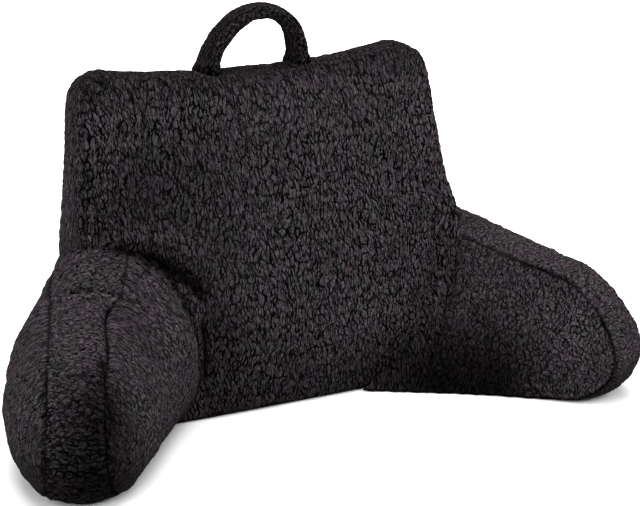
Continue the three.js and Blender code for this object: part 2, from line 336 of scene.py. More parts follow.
def noise3(p, size, seed, octaves=2):
    """Smooth value noise of world points, -1 to 1. size is the blob size in metres."""
    out = np.zeros(len(p))
    total = 0.0
    for o in range(octaves):
        q = p / size * 2**o + seed * 17.31 + o * 5.7
        c = np.floor(q).astype(np.int64)
        f = q - c
        f = f * f * (3 - 2 * f)
        acc = np.zeros(len(p))
        for dx in (0, 1):
            for dy in (0, 1):
                for dz in (0, 1):
                    h = (
                        (c[:, 0] + dx) * 73856093
                        ^ (c[:, 1] + dy) * 19349663
                        ^ (c[:, 2] + dz) * 83492791
                    ) & 0x7FFFFFFF
                    h = (h * 1103515245 + 12345 + seed * 7919) & 0x7FFFFFFF
                    h = ((h >> 7) ^ h) * 1103515245 & 0x7FFFFFFF
                    v = (h % 65536) / 32768.0 - 1
                    w = (
                        (f[:, 0] if dx else 1 - f[:, 0])
                        * (f[:, 1] if dy else 1 - f[:, 1])
                        * (f[:, 2] if dz else 1 - f[:, 2])
                    )
                    acc += v * w
        out += acc / 2**o
        total += 1 / 2**o
    return out / total


# ------------------------------------------------------ stuffed bodies ----
UP_THE_BACK = np.array([0, BACK_PIECE["lean"] / BACK_PIECE["height"], 1.0])


def root_rise(p):
    """The left arm is packed full where it is sewn to the back: how far it rides up, in mm."""
    root, forward, inward = arm_axes("arm_left")
    q = p - root
    s, l, z = q @ forward, q @ inward, q[:, 2]
    high = step01(z, 30, 170)
    rise = 24 * (1 - step01(s, 24, 92)) * step01(s, -62, -8) * (1 - 1.25 * step01(-l, 2, 40))
    droop = 12 * step01(-s, 10, 60) * step01(-l, 8, 40)
    droop += 6 * (1 - step01(s, 30, 95)) * step01(-l, 0, 44)
    return ((rise - droop) * high)[:, None] * UP_THE_BACK


def before_rise(p):
    q = p.copy()
    for _ in range(6):
        q = p - root_rise(q)
    return q


SEAMS = {
    "backrest": {"front": back_seam(False), "rear": back_seam(True)},
    "arm_left": {"inner": arm_seam("arm_left", True), "outer": arm_seam("arm_left", False)},
    "arm_right": {"inner": arm_seam("arm_right", True), "outer": arm_seam("arm_right", False)},
}
SIM = {  # voxel, start this much smaller, and the most that a point may move (mm)
    "backrest": dict(voxel=6.0, shrink=5.0, cap=14.0, touch=()),
    "arm_left": dict(voxel=5.0, shrink=4.0, cap=11.0, touch=("backrest",)),
    "arm_right": dict(voxel=5.0, shrink=4.0, cap=11.0, touch=("backrest",)),
    "handle": dict(voxel=3.0, shrink=1.0, cap=4.0, touch=("backrest",)),
}


def swollen(node):
    """The node's solid as a smooth closed mesh, swollen by air pressure between its seams."""
    s = SIM[node]
    obj = new_object(node + "_soft", NODES[node].data.copy())
    remesh(obj, s["voxel"] * MM)
    me = obj.data
    relax(me, 8, 0.55)
    co = points_of(me)
    base = step01(-co[:, 2], -6 * MM, -1.5 * MM)  # 1 on the face it rests on
    held = base.copy()
    for line in SEAMS.get(node, {}).values():
        d, _ = distance_to(line, co, 0.02)
        held = np.maximum(held, 1 - step01(d, 3 * MM, 9 * MM))
    for other in s["touch"]:
        tree = tree_of(NODES[other])
        gap = np.array([tree.find_nearest(p)[3] for p in co])
        held = np.maximum(held, 1 - step01(gap, 4 * MM, 12 * MM))
    start = co - normals_of(me) * (s["shrink"] * MM) * (1 - held)[:, None]
    start[:, 2] = np.where(base > 0.5, co[:, 2], start[:, 2])
    set_points(me, start)
    group = obj.vertex_groups.new(name="pin")
    for i in np.nonzero(held > 0.02)[0]:
        group.add([int(i)], float(held[i]), "REPLACE")
    m = obj.modifiers.new("cloth", "CLOTH")
    c = m.settings
    c.quality = 4
    c.mass = 0.2
    c.tension_stiffness = c.compression_stiffness = 12
    c.shear_stiffness = 6
    c.bending_stiffness = 1.2
    c.use_pressure = True
    c.uniform_pressure_force = 4.0
    c.effector_weights.gravity = 0
    c.vertex_group_mass = "pin"
    c.pin_stiffness = 1
    m.collision_settings.use_collision = False
    m.collision_settings.use_self_collision = False
    m.point_cache.frame_start = 1
    m.point_cache.frame_end = 20
    scene = bpy.context.scene
    scene.frame_start, scene.frame_end = 1, 20
    for f in range(1, 21):
        scene.frame_set(f)
    dg = bpy.context.evaluated_depsgraph_get()
    after = points_of(obj.evaluated_get(dg).to_mesh())
    obj.evaluated_get(dg).to_mesh_clear()
    obj.modifiers.clear()
    scene.frame_set(1)
    move = after - start
    r = np.linalg.norm(move, axis=1)[:, None] + 1e-12
    cap = s["cap"] * MM
    move *= cap * np.tanh(r / cap) / r
    new = start + move
    new[:, 2] = np.where(base > 0.5, co[:, 2], np.maximum(new[:, 2], 0))
    set_points(me, new)
    obj.vertex_groups.clear()
    relax(me, 2, 0.4)
    return obj


soft = {node: swollen(node) for node in SIM}
co = points_of(soft["arm_left"].data)
set_points(soft["arm_left"].data, co + root_rise(co / MM) * MM)
relax(soft["arm_left"].data, 2, 0.4)
for name, line in SEAMS["arm_left"].items():
    SEAMS["arm_left"][name] = line + root_rise(line)

# ------------------------------------------------------------ big folds ----
# Folds and hollows that the stuffing leaves. Each is a line on the visible
# surface, given where it shows in the picture, then found on the body by a ray.
# push is along the surface normal (mm, out is positive), wide is its reach, and dark darkens the colour: painted shade
# in the hollows, and the dark line of a seam where a fold follows one.
FOLDS = [
    dict(on="backrest", push=12, wide=14, dark=0, at=[(108, 230), (138, 237), (168, 244), (198, 260), (222, 288)]),
    dict(on="backrest", push=-17, wide=9, dark=0.85, at=[(136, 252), (156, 262), (178, 273), (198, 287), (210, 310)]),
    dict(on="backrest", push=-8, wide=15, dark=0.30, at=[(212, 296), (218, 326), (218, 358), (212, 394)]),
    dict(on="backrest", push=5, wide=20, dark=0, at=[(262, 285), (256, 325), (250, 372)]),
    dict(on="backrest", push=-5, wide=14, dark=0, at=[(234, 300), (228, 340), (226, 385)]),
    dict(on="backrest", push=-4, wide=16, dark=0, at=[(316, 250), (322, 300), (318, 360)]),
    dict(on="backrest", push=5, wide=24, dark=0, at=[(385, 190), (380, 240), (368, 300), (350, 345)]),
    dict(on="backrest", push=-3, wide=14, dark=0, at=[(440, 240), (430, 285), (416, 320)]),
    dict(on="backrest", push=-6.5, wide=5.0, dark=1.0, at=[(201, 314), (205, 334), (207, 352), (207, 374), (205, 394)]),
    dict(on="backrest", push=4, wide=7, dark=0, at=[(87, 178), (92, 205), (96, 230)]),
    dict(on="backrest", push=-4, wide=6, dark=0.6, at=[(104, 226), (101, 234), (98, 242)]),
    dict(on="backrest", push=-2.2, wide=3, dark=0.30, at=[(78, 105), (76, 135), (75, 165), (73, 195)]),
    dict(on="backrest", push=-6, wide=5, dark=0.75, at=[(96, 79), (103, 83), (107, 92)]),
    dict(on="backrest", push=-4.5, wide=4, dark=0.65, at=[(83, 90), (89, 96), (93, 106), (96, 116)]),
    dict(on="backrest", push=-3.5, wide=8, dark=0.15, at=[(408, 52), (400, 62), (394, 80)]),
    dict(on="backrest", push=-3.5, wide=15, dark=0, at=[(222, 73), (250, 71), (282, 67)]),
    dict(on="arm_left", push=4, wide=22, dark=0, at=[(150, 300), (172, 335), (176, 375)]),
    dict(on="arm_left", push=-3.5, wide=12, dark=0.05, at=[(126, 352), (134, 392), (142, 436)]),
    dict(on="arm_left", push=-6, wide=6, dark=0.8, at=[(101, 352), (104, 371), (108, 390), (112, 412), (114, 436)]),
    dict(on="arm_left", push=-2.6, wide=5, dark=0.15, at=[(60, 352), (78, 349), (98, 352)]),
    dict(on="arm_left", push=-2.6, wide=5, dark=0.15, at=[(56, 381), (74, 376), (99, 378)]),
    dict(on="arm_left", push=-3.0, wide=6, dark=0.15, at=[(62, 408), (80, 402), (104, 398)]),
    dict(on="handle", push=-1.6, wide=2.2, dark=0.75, at=[(207, 66), (211, 52), (218, 36), (230, 23), (246, 13), (262, 9)]),
    dict(on="arm_right", push=-6, wide=9, dark=0.40, at=[(459, 236), (455, 262), (450, 295), (442, 328), (432, 358), (428, 380)]),
    dict(on="arm_right", push=-4, wide=24, dark=0.05, at=[(480, 300), (486, 335), (500, 372)]),
    dict(on="arm_right", push=5, wide=28, dark=0, at=[(545, 318), (570, 345), (560, 372)]),
]


def shape_folds(node, co):
    """Displacement in metres along the normal from this body's folds, and how far they darken the colour: painted shade
    in the hollows, dark seam lines where a fold follows a seam.
    """
    out, dark = np.zeros(len(co)), np.zeros(len(co))
    tree = tree_of(soft[node])
    for fold in FOLDS:
        if fold["on"] != node:
            continue
        hits = []
        for px, py in dense_line(fold["at"], 3.0):
            hit = tree.ray_cast(Vector(CAM), Vector(ray(px, py)))
            if hit[0] is not None:
                hits.append(np.array(hit[0]) / MM)
        if len(hits) < 2:
            print("fold misses its body:", fold["at"])
            continue
        line = dense_line(hits, 2.0)
        d, at = distance_to(line, co, fold["wide"] * 2.2 * MM)
        ends = step01(at, -0.02, 0.22) * step01(-at, -1.02, -0.78)
        near = np.exp(-((d / (fold["wide"] * MM)) ** 2)) * ends
        out += fold["push"] * MM * near
        dark = np.maximum(dark, fold["dark"] * near)
    return out, dark


SEAM_LOOK = {  # groove depth, its half-width, the puffed margin and the gathers beside it (mm)
    ("backrest", "front"): dict(depth=3.6, half=3.2, puff=1.6, gather=0.9, pitch=17, line=2.6, dark=0.8),
    ("backrest", "rear"): dict(depth=3.2, half=3.4, puff=1.5, gather=0.9, pitch=17, line=2.8, dark=0.6),
    ("arm_left", "inner"): dict(depth=6.2, half=4.0, puff=2.4, gather=1.6, pitch=13, line=2.5, dark=1.1),
    ("arm_left", "outer"): dict(depth=4.0, half=3.6, puff=2.0, gather=1.4, pitch=13, line=2.4, dark=0.95),
    ("arm_right", "inner"): dict(depth=4.6, half=3.4, puff=2.0, gather=1.3, pitch=15, line=2.8, dark=1.2),
    ("arm_right", "outer"): dict(depth=3.6, half=3.6, puff=1.8, gather=1.2, pitch=15, line=2.6, dark=0.75),
}


def shape_seams(node, co):
    """Displacement along the normal, and the darkness of the seam lines, from the sewn seams."""
    out = np.zeros(len(co))
    seam_lines_and_painted_shade = np.zeros(len(co))
    tree = tree_of(soft[node])
    for name, line in SEAMS.get(node, {}).items():
        k = SEAM_LOOK[(node, name)]
        line = np.array([np.array(tree.find_nearest(p * MM)[0]) / MM for p in line])
        d, at = distance_to(line, co, 0.045)
        d = d / MM
        along = at * len(line) * 2.0  # mm
        # the pile closes over parts of the seam, so it shows as a broken line
        uneven = np.clip(0.85 + 0.5 * noise3(co, 0.05, 3) + 0.40 * noise3(co, 0.012, 4), 0.2, 1.3)
        if (node, name) == ("backrest", "front"):
            x, z = co[:, 0] / MM, co[:, 2] / MM
            uneven *= 1 - 0.85 * step01(z, 385, 415) * (1 - step01(np.abs(x + 10), 205, 232))
            uneven *= 1 - 0.5 * step01(x, 150, 200)
        if (node, name) == ("arm_right", "inner"):
            uneven *= step01(picture(co)[0], 456, 478)
        if (node, name) == ("arm_left", "inner"):
            uneven *= 0.6 + 0.4 * step01(picture(co)[1], 290, 318)
        g = np.exp(-((d / k["half"]) ** 2)) * uneven
        out -= k["depth"] * g
        out += k["puff"] * np.exp(-(((d - 13) / 9) ** 2)) * (0.8 + 0.4 * noise3(co, 0.04, 5))
        # gathers: short ridges across the seam, dying away from it
        phase = 2 * math.pi * along / k["pitch"] + 7.0 * noise3(co, 0.05, 7)
        out += k["gather"] * np.sin(phase) * np.exp(-(((d - 7) / 10) ** 2)) * np.clip(
            0.25 + 0.9 * noise3(co, 0.05, 11), 0, 1
        )
        seam_lines_and_painted_shade = np.maximum(seam_lines_and_painted_shade, np.exp(-((d / k["line"]) ** 2)) * uneven * k["dark"])
    return out * MM, np.clip(seam_lines_and_painted_shade, 0, 1)


PAINTED_SHADE_AND_LIGHT_SPOTS = [  # painted shade, and painted light where by is negative: spots of the picture whose colour is darkened or lightened, radius (mm) and strength
    dict(at=(440, 384), radius=75, by=0.90),
    dict(at=(497, 380), radius=62, by=0.85),
    dict(at=(68, 185), radius=40, by=-0.26),
    dict(at=(424, 122), radius=38, by=-0.15),
    dict(at=(380, 315), radius=42, by=-0.20),
    dict(at=(300, 170), radius=90, by=0.08),
    dict(at=(104, 492), radius=34, by=0.35),
    dict(at=(96, 410), radius=26, by=0.22),
    dict(at=(392, 388), radius=52, by=0.50),
    dict(at=(455, 345), radius=48, by=0.35),
    dict(at=(575, 330), radius=52, by=-0.28),
    dict(at=(470, 222), radius=34, by=0.28),
    dict(at=(98, 385), radius=34, by=0.40),
    dict(at=(98, 425), radius=44, by=0.70),
    dict(at=(94, 472), radius=56, by=0.80),
    dict(at=(60, 485), radius=46, by=0.30),
    dict(at=(142, 338), radius=38, by=0.20),
    dict(at=(138, 205), radius=70, by=0.42),
    dict(at=(190, 160), radius=90, by=0.25),
    dict(at=(216, 250), radius=34, by=0.28),
    dict(at=(220, 335), radius=45, by=0.28),
    dict(at=(222, 402), radius=36, by=0.40),
    dict(at=(290, 388), radius=60, by=0.20),
]


# painted shade and painted light: how much each point's colour is darkened, or lightened, by the spots
def painted_shade_and_light(co):
    out = np.ones(len(co))
    trees = [tree_of(obj) for obj in soft.values()]
    for spot in PAINTED_SHADE_AND_LIGHT_SPOTS:
        hits = [t.ray_cast(Vector(CAM), Vector(ray(*spot["at"]))) for t in trees]
        hits = [h for h in hits if h[0] is not None]
        if not hits:
            print("shade misses:", spot["at"])
            continue
        at = np.array(min(hits, key=lambda h: h[3])[0])
        d = np.linalg.norm(co - at, axis=1) / MM
        out *= 1 - spot["by"] * np.exp(-((d / spot["radius"]) ** 2))
    return out


def gap_to(nodes, co, nrm, reach):
    """Distance in metres to the other bodies, at most reach, and how squarely it faces them."""
    gap, facing = np.full(len(co), reach), np.zeros(len(co))
    for other in nodes:
        body = soft[other] if other == "arm_left" else NODES[other]
        tree = tree_of(body)
        box = points_of(body.data)
        lo, hi = box.min(0) - reach, box.max(0) + reach
        for i in np.nonzero(np.all((co > lo) & (co < hi), axis=1))[0]:
            hit = tree.find_nearest(co[i], reach)
            if hit[0] is not None and hit[3] < gap[i]:
                gap[i] = hit[3]
                facing[i] = -np.dot(hit[1], nrm[i])
    return gap, facing


MEETS = {
    "backrest": ("arm_left", "arm_right", "handle"),
    "arm_left": ("backrest",),
    "arm_right": ("backrest",),
    "handle": ("backrest",),
}


def cross_seam(co):
    """The left arm's seam across its top strip, and the nick it pulls in its side, with a painted highlight along the
    seam's ridge.
    """
    root, forward, inward = arm_axes("arm_left")
    tree = tree_of(soft["arm_left"])
    found = []
    for px, py in ((60, 300), (78, 299), (95, 299), (109, 300), (124, 301)):
        hit = tree.ray_cast(Vector(CAM), Vector(ray(px, py)))
        if hit[0] is not None:
            p = np.array(hit[0]) / MM - root
            found.append((p @ inward, p @ forward, p[2]))
    found = np.array(found)
    p = co / MM - root
    l, s, z = p @ inward, p @ forward, p[:, 2]
    fit = np.polyfit(found[:, 0], found[:, 1], 1)
    line = fit[0] * np.clip(l, found[:, 0].min() - 10, found[:, 0].max() + 10) + fit[1]
    d = s - line + 2.0 * noise3(co, 0.03, 21)
    top = step01(z, 95, 140)
    fade_in = 1 - step01(l, found[:, 0].max() + 2, found[:, 0].max() + 42)
    outside = 1 - step01(l, found[:, 0].min() - 22, found[:, 0].min())
    shown = top * fade_in
    ridge_with_painted_highlight = np.exp(-((d / 3.4) ** 2)) * shown
    sides = np.exp(-(((np.abs(d) - 7.5) / 3.2) ** 2)) * shown * np.where(d > 0, 0.55, 1.0)
    out = 2.2 * ridge_with_painted_highlight - 3.4 * sides + 1.6 * np.exp(-(((np.abs(d) - 22) / 8) ** 2)) * shown
    out -= 3.0 * np.exp(-((d / 15) ** 2)) * outside * step01(z, 70, 130)
    stitches = np.clip(noise3(co, 0.006, 23) * 1.8 + 0.55, 0, 1)
    # the last value is a painted highlight that lightens the ridge's colour
    return out * MM, 0.9 * sides * stitches, 0.40 * ridge_with_painted_highlight


# ------------------------------------------------------------ pile nodes ----
def node(tree, kind, **props):
    n = tree.nodes.new(kind)
    for k, v in props.items():
        setattr(n, k, v)
    return n


def calc(tree, op, a, b=None):
    n = node(tree, "ShaderNodeMath", operation=op)
    for i, v in enumerate((a, b)):
        if isinstance(v, (int, float)):
            n.inputs[i].default_value = v
        elif v is not None:
            tree.links.new(v, n.inputs[i])
    return n.outputs[0]


def vec(tree, op, a, b):
    n = node(tree, "ShaderNodeVectorMath", operation=op)
    for i, v in enumerate((a, b)):
        if isinstance(v, (tuple, list)):
            n.inputs[i].default_value = v
        else:
            tree.links.new(v, n.inputs[i])
    return n.outputs[0]


def ramp(tree, value, a, b, c=0.0, d=1.0):
    n = node(tree, "ShaderNodeMapRange", interpolation_type="SMOOTHSTEP")
    tree.links.new(value, n.inputs[0])
    for i, v in zip((1, 2, 3, 4), (a, b, c, d)):
        n.inputs[i].default_value = v
    return n.outputs[0]


def blend(tree, factor, a, b):
    n = node(tree, "ShaderNodeMix", data_type="FLOAT")
    tree.links.new(factor, n.inputs[0])
    for i, v in ((2, a), (3, b)):
        if isinstance(v, (int, float)):
            n.inputs[i].default_value = v
        else:
            tree.links.new(v, n.inputs[i])
    return n.outputs[0]


def flat_noise(tree, coord, detail=1.0, rough=0.5):
    n = node(tree, "ShaderNodeTexNoise", noise_dimensions="2D")
    tree.links.new(coord, n.inputs["Vector"])
    n.inputs["Scale"].default_value = 1.0
    n.inputs["Detail"].default_value = detail
    n.inputs["Roughness"].default_value = rough
    return n


def scaled(tree, coord, fx, fy, dx=0.0, dy=0.0):
    return vec(tree, "ADD", vec(tree, "MULTIPLY", coord, (fx, fy, 0)), (dx, dy, 0))


def warp(tree, coord, freq, amount, detail=1.0):
    n = flat_noise(tree, scaled(tree, coord, freq[0], freq[1]), detail).outputs[1]
    n = vec(tree, "SUBTRACT", n, (0.5, 0.5, 0.5))
    return vec(tree, "ADD", coord, vec(tree, "MULTIPLY", n, (amount[0], amount[1], 0)))


def furrows(tree, coord, size, spot, reach):
    """Distance to the borders between curls; borders that run across the pile fade."""
    p = scaled(tree, coord, 1 / size[0], 1 / size[1], *spot)
    sides = []
    for sign in (1, -1):
        c = node(tree, "ShaderNodeTexVoronoi", voronoi_dimensions="2D", feature="DISTANCE_TO_EDGE")
        tree.links.new(vec(tree, "ADD", p, (0, sign * reach, 0)), c.inputs["Vector"])
        c.inputs["Scale"].default_value = 1.0
        c.inputs["Randomness"].default_value = 1.0
        sides.append(c.outputs["Distance"])
    return calc(tree, "MAXIMUM", *sides)


def pile_height(tree, coord):
    """coord is in mm on the cloth, x across the pile and y along it: 1 on a curl, 0 between."""
    w = warp(tree, coord, (0.055, 0.032), (15, 9), 2.0)
    w = warp(tree, w, (0.012, 0.010), (34, 20), 1.0)
    e1 = furrows(tree, w, (6.6, 17.5), (0, 0), 0.085)
    w2 = warp(tree, coord, (0.12, 0.06), (6, 5), 1.0)
    e2 = furrows(tree, w2, (3.7, 11.5), (37.2, 11.7), 0.10)
    n1 = flat_noise(tree, scaled(tree, coord, 0.10, 0.05)).outputs[0]
    n2 = flat_noise(tree, scaled(tree, coord, 0.15, 0.07, 9.3, 4.1)).outputs[0]
    g1 = calc(tree, "MULTIPLY", ramp(tree, e1, 0.07, 0.24, 1.0, 0.0), ramp(tree, n1, 0.36, 0.56, 0.35, 1.0))
    g2 = calc(tree, "MULTIPLY", ramp(tree, e2, 0.07, 0.30, 1.0, 0.0), ramp(tree, n2, 0.38, 0.60, 0.30, 0.85))
    h = calc(tree, "MULTIPLY", calc(tree, "SUBTRACT", 1.0, g1), calc(tree, "SUBTRACT", 1.0, g2))
    return calc(tree, "MULTIPLY", h, ramp(tree, e1, 0.0, 0.5, 0.8, 1.0)), w2


def pile_group():
    tree = bpy.data.node_groups.new("pile", "GeometryNodeTree")
    tree.interface.new_socket("Geometry", in_out="INPUT", socket_type="NodeSocketGeometry")
    tree.interface.new_socket("Geometry", in_out="OUTPUT", socket_type="NodeSocketGeometry")
    gin, gout = node(tree, "NodeGroupInput"), node(tree, "NodeGroupOutput")
    coord = node(tree, "GeometryNodeInputNamedAttribute", data_type="FLOAT_VECTOR")
    coord.inputs["Name"].default_value = "pile"
    amp = node(tree, "GeometryNodeInputNamedAttribute", data_type="FLOAT")
    amp.inputs["Name"].default_value = "pile_depth"
    h, _ = pile_height(tree, coord.outputs[0])
    lift = calc(tree, "MULTIPLY", calc(tree, "SUBTRACT", h, 0.62), amp.outputs[0])
    scale = node(tree, "ShaderNodeVectorMath", operation="SCALE")
    tree.links.new(node(tree, "GeometryNodeInputNormal").outputs[0], scale.inputs[0])
    tree.links.new(lift, scale.inputs["Scale"])
    put = node(tree, "GeometryNodeSetPosition")
    tree.links.new(gin.outputs[0], put.inputs["Geometry"])
    tree.links.new(scale.outputs[0], put.inputs["Offset"])
    tree.links.new(put.outputs[0], gout.inputs[0])
    return tree


PILE = pile_group()


def fleece_material(name):
    mat = bpy.data.materials.new(name)
    mat.use_nodes = True
    tree = mat.node_tree
    tree.nodes.clear()
    out = node(tree, "ShaderNodeOutputMaterial")
    skin = node(tree, "ShaderNodeBsdfPrincipled")
    tree.links.new(skin.outputs[0], out.inputs[0])
    coord = node(tree, "ShaderNodeAttribute", attribute_name="pile").outputs["Vector"]
    tone = node(tree, "ShaderNodeAttribute", attribute_name="pile_tone").outputs["Fac"]
    seam_lines_and_painted_shade = node(tree, "ShaderNodeAttribute", attribute_name="seam_lines_and_painted_shade").outputs["Fac"]
    h, w = pile_height(tree, coord)
    # fibres: fine streaks along the pile and specks across it
    streak = flat_noise(tree, scaled(tree, w, 0.50, 0.11), 2.0, 0.6).outputs[0]
    speck = flat_noise(tree, scaled(tree, coord, 0.55, 0.40), 2.0, 0.7).outputs[0]
    fibre = calc(tree, "ADD", calc(tree, "MULTIPLY", streak, 0.6), calc(tree, "MULTIPLY", speck, 0.4))
    lit = ramp(tree, fibre, 0.35, 0.65, 0.26, 2.2)
    # pile_tone is 1 where the curls stand open and near 0 on smooth nap, which only has pits
    # painted shade: the colour darkens between the curls and in the pits of the nap
    full = ramp(tree, h, 0.0, 0.75, 0.02, 1.0)
    dots = flat_noise(tree, scaled(tree, coord, 0.25, 0.15, 3.1, 7.7), 1.5, 0.55).outputs[0]
    nap = calc(tree, "MULTIPLY", ramp(tree, dots, 0.57, 0.68, 1.0, 0.16), 0.80)
    shade = blend(tree, tone, nap, full)
    value = calc(tree, "MULTIPLY", calc(tree, "POWER", shade, 1.5), lit)
    # painted shade and dark seam lines from the mesh darken the colour; where that value is negative it lightens
    # instead, painted light
    value = calc(tree, "MULTIPLY", value, calc(tree, "SUBTRACT", 1.0, seam_lines_and_painted_shade))
    # dye: faint olive, plum and grey-green drifts
    drift = flat_noise(tree, scaled(tree, coord, 0.022, 0.022), 2.0).outputs[0]
    cr = node(tree, "ShaderNodeValToRGB")
    tree.links.new(drift, cr.inputs[0])
    s = cr.color_ramp
    s.elements[0].position, s.elements[0].color = 0.36, (0.0266, 0.0250, 0.0270, 1)
    s.elements[1].position, s.elements[1].color = 0.60, (0.0312, 0.0252, 0.0298, 1)
    s.elements.new(0.48).color = (0.0296, 0.0248, 0.0284, 1)
    s.elements.new(0.42).color = (0.0286, 0.0258, 0.0252, 1)
    # the colour runs from near-black, where the painted shade is deepest, to the dye
    mix = node(tree, "ShaderNodeMix", data_type="RGBA")
    mix.clamp_factor = False
    tree.links.new(value, mix.inputs[0])
    mix.inputs[6].default_value = (0.0004, 0.0003, 0.0004, 1)
    tree.links.new(cr.outputs[0], mix.inputs[7])
    tree.links.new(mix.outputs[2], skin.inputs["Base Color"])
    skin.inputs["Roughness"].default_value = 0.95
    skin.inputs["Specular IOR Level"].default_value = 0.004
    skin.inputs["Sheen Weight"].default_value = 0.004
    skin.inputs["Sheen Roughness"].default_value = 0.5
    skin.inputs["Sheen Tint"].default_value = (0.60, 0.58, 0.60, 1)
    bump = node(tree, "ShaderNodeBump")
    bump.inputs["Strength"].default_value = 1.0
    bump.inputs["Distance"].default_value = 0.0016
    relief = calc(tree, "ADD", calc(tree, "MULTIPLY", shade, 0.6), calc(tree, "MULTIPLY", fibre, 1.0))
    tree.links.new(relief, bump.inputs["Height"])
    tree.links.new(bump.outputs[0], skin.inputs["Normal"])
    return mat


FLEECE = fleece_material("sherpa_fleece")

# ------------------------------------------------ the cloth of each panel ----
# size: of the curls, across and along the pile, 1 is 6.6 x 17.5 mm; depth: their
# relief (mm); tone: how far they stand open; the colour factor on a few panels is painted shade.
CLOTH = {
    ("backrest", "front"): dict(size=(0.82, 0.80), depth=2.1, tone=1.0, panel_painted_shade=0.93),
    ("backrest", "strip"): dict(size=(0.9, 1.0), depth=1.5, tone=0.55),
    ("backrest", "rear"): dict(size=(0.90, 0.85), depth=2.1, tone=0.9),
    ("arm_left", "inner"): dict(size=(0.95, 0.66), depth=1.6, tone=0.55),
    ("arm_left", "strip"): dict(size=(1.15, 0.60), depth=2.2, tone=0.85),
    ("arm_left", "outer"): dict(size=(0.85, 0.80), depth=1.4, tone=0.55),
    ("arm_right", "inner"): dict(size=(1.04, 0.54), depth=1.8, tone=0.72),
    ("arm_right", "web"): dict(size=(0.82, 0.80), depth=2.0, tone=0.95),
    ("arm_right", "strip"): dict(size=(0.95, 0.62), depth=1.4, tone=0.5),
    ("arm_right", "outer"): dict(size=(0.85, 0.80), depth=1.4, tone=0.55),
    ("handle", "strap"): dict(size=(0.60, 0.42), depth=1.4, tone=1.0, panel_painted_shade=0.46),
}


def run_along(line, pts):
    """How far along a 2-D line each 2-D point lies, and how far inside it, in the line's units."""
    out = np.empty(len(pts), np.int64)
    for a in range(0, len(pts), 20000):
        p = pts[a : a + 20000]
        out[a : a + 20000] = np.argmin(
            (p[:, None, 0] - line[None, :, 0]) ** 2 + (p[:, None, 1] - line[None, :, 1]) ** 2, axis=1
        )
    run = np.r_[0, np.cumsum(np.linalg.norm(np.diff(line, axis=0), axis=1))]
    way = np.gradient(line, axis=0)
    way /= np.linalg.norm(way, axis=1)[:, None] + 1e-9
    off = pts - line[out]
    inside = off[:, 1] * way[out, 0] - off[:, 0] * way[out, 1]
    return run[out] + np.einsum("ij,ij->i", off, way[out]), inside


def lay_out(node_name, co):
    """Which panel each point is in, and where on the flat cloth, in mm."""
    p = co / MM - SHIFT
    u, v = np.zeros(len(p)), np.zeros(len(p))
    panel = np.empty(len(p), object)
    if node_name == "backrest":
        b = BACK_PIECE
        x, z = p[:, 0], p[:, 2]
        rise = np.clip(z / b["height"], 0, 1)
        behind = p[:, 1] - b["lean"] * z / b["height"]
        depth = b["base"] + (b["top"] - b["base"]) * rise
        line = back_outline()
        arc, inset = run_along(line, np.c_[x, z])
        over = (z > 385) & (behind < depth * 0.5) & (np.abs(x) < 228)
        round_side = (x < -225) & (behind < 20 + 9 * noise3(co, 0.03, 51)) & (z > 12)
        front = (inset > behind) | over | round_side
        rear = (inset > depth - behind) & ~front
        panel[:] = "strip"
        u, v = behind.copy() + 300, arc
        panel[front], panel[rear] = "front", "rear"
        wrap = np.where(over, np.maximum(behind, 0), 0)
        u[front] = x[front] - np.where(x < -215, np.maximum(behind, 0) - wrap, 0)[front]
        v[front] = z[front] * 1.027 + wrap[front]
        u[rear], v[rear] = x[rear] + 1400, z[rear]
    elif node_name == "handle":
        turn = np.linspace(math.pi, 0, 240)
        up, out = np.sin(turn) ** 0.952, np.sign(np.cos(turn)) * np.abs(np.cos(turn)) ** 0.952
        line = np.c_[4 + 65 * out + 8 * up, 139 - 15 * up, 398 + 90 * up]
        run = np.r_[0, np.cumsum(np.linalg.norm(np.diff(line, axis=0), axis=1))]
        near = np.argmin(((p[:, None] - line[None]) ** 2).sum(2), axis=1)
        ahead = np.gradient(line, axis=0)
        ahead /= np.linalg.norm(ahead, axis=1)[:, None]
        off = p - line[near]
        thick = np.cross(ahead, [0, -1, 0])[near]
        panel[:] = "strap"
        v = run[near] + np.einsum("ij,ij->i", off, ahead[near])
        u = np.arctan2(np.einsum("ij,ij->i", off, thick), -off[:, 1]) * 17 + 2000
    else:
        a = ARMS[node_name]
        root, forward, inward = arm_axes(node_name)
        q = (before_rise(co / MM) if node_name == "arm_left" else co / MM) - root
        s, l, z = q @ forward, q @ inward, q[:, 2]
        to_inner, to_outer = arm_edges(node_name, s, z)
        panel[:] = "strip"
        arc, inset = run_along(arm_outline(node_name), np.c_[s, z])
        u, v = arc + 600 + 900 * a["side"], l.copy()
        inner = inset > to_inner - l
        outer = (inset > to_outer + l) & ~inner
        panel[inner], panel[outer] = "inner", "outer"
        # the nap of the side panels falls from the seam, a little towards the toe
        u[inner], v[inner] = s[inner] * 0.97 + z[inner] * 0.22 + 40, z[inner] * 0.97 - s[inner] * 0.22
        u[outer], v[outer] = s[outer] + 3000, z[outer]
        if node_name == "arm_right":  # the front cloth runs on a little way over the arm
            px, py = picture(co)
            edge = np.interp(py, [200, 240, 262, 295, 328, 358, 380], [462, 458, 455, 450, 442, 432, 428])
            web = (px + 2.5 * noise3(co, 0.02, 53) < edge) & ~outer & (p[:, 2] > 3)
            panel[web] = "web"
            ahead = np.maximum(BACK_PIECE["lean"] * p[:, 2] / BACK_PIECE["height"] - p[:, 1], 0)
            u[web], v[web] = (p[:, 0] + 0.8 * ahead)[web], p[web, 2] * 1.027
    return panel, u, v


GROW = {"backrest": 1.9, "arm_left": 0.7, "arm_right": 1.5, "handle": 1.7}
SWELLS = {  # centre in mm or in the picture, radius in mm, and how far it stands out
    "backrest": [((250, 62, 215), 34, 8.0)],
    "arm_right": [((262, 60, 205), 40, 2.5)],
    "arm_left": [((41, 307), 15, -10.0), ((30, 330), 26, 3.0), ((182, 348), 42, 14.0)],
}


